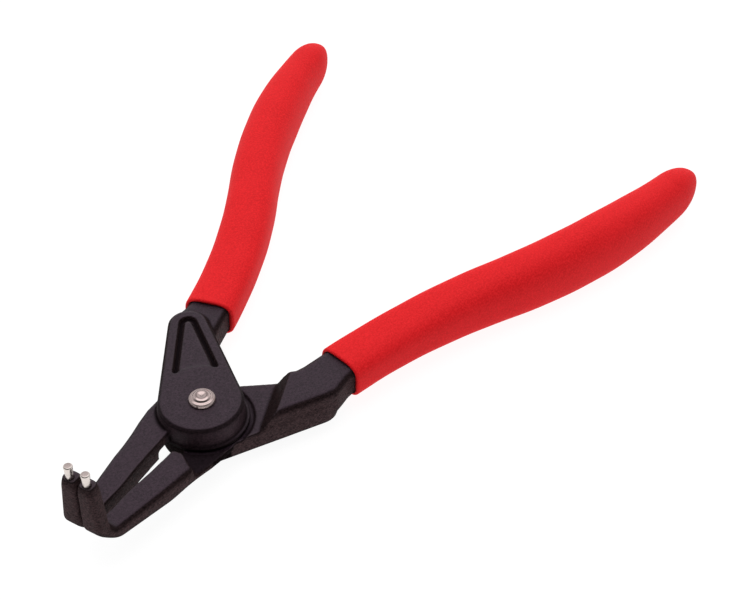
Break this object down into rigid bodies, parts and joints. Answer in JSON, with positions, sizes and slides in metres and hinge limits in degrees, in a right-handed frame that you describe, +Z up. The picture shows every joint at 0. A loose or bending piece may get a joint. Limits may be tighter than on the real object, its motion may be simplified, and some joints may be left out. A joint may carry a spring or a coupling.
{
  "type": "circlip pliers",
  "caption": "Hand pliers for outside retaining rings, with bent round tips that open as the dipped handles are squeezed.",
  "frame": {"origin": "on the pivot axis, at the flat foot of the rivet under the joint", "axes": "+X from the pivot to the handles along the tool's middle line, +Z up along the rivet, the way the tips point"},
  "size_m": [0.1609, 0.1092, 0.0255],
  "materials": {
    "forged_black": "black phosphated forging",
    "bright_steel": "bright turned steel",
    "spring_steel": "drawn wire",
    "red_vinyl": "satin dipped vinyl"
  },
  "bodies": {
    "right_half": {"right_lever": "forged_black", "right_grip": "red_vinyl", "right_tip_pin": "bright_steel", "pivot_rivet": "bright_steel", "return_spring": "spring_steel"},
    "left_half": {"left_lever": "forged_black", "left_grip": "red_vinyl", "left_tip_pin": "bright_steel"}
  },
  "joints": [
    {"name": "pivot", "type": "hinge", "parent": "right_half", "child": "left_half", "pos_m": [0, 0, 0.0058], "axis": [0, 0, -1], "range_deg": [0, 38], "stiffness_Nm_per_rad": 0.3, "springref_deg": -22.92, "deforming": ["return_spring"]}
  ]
}
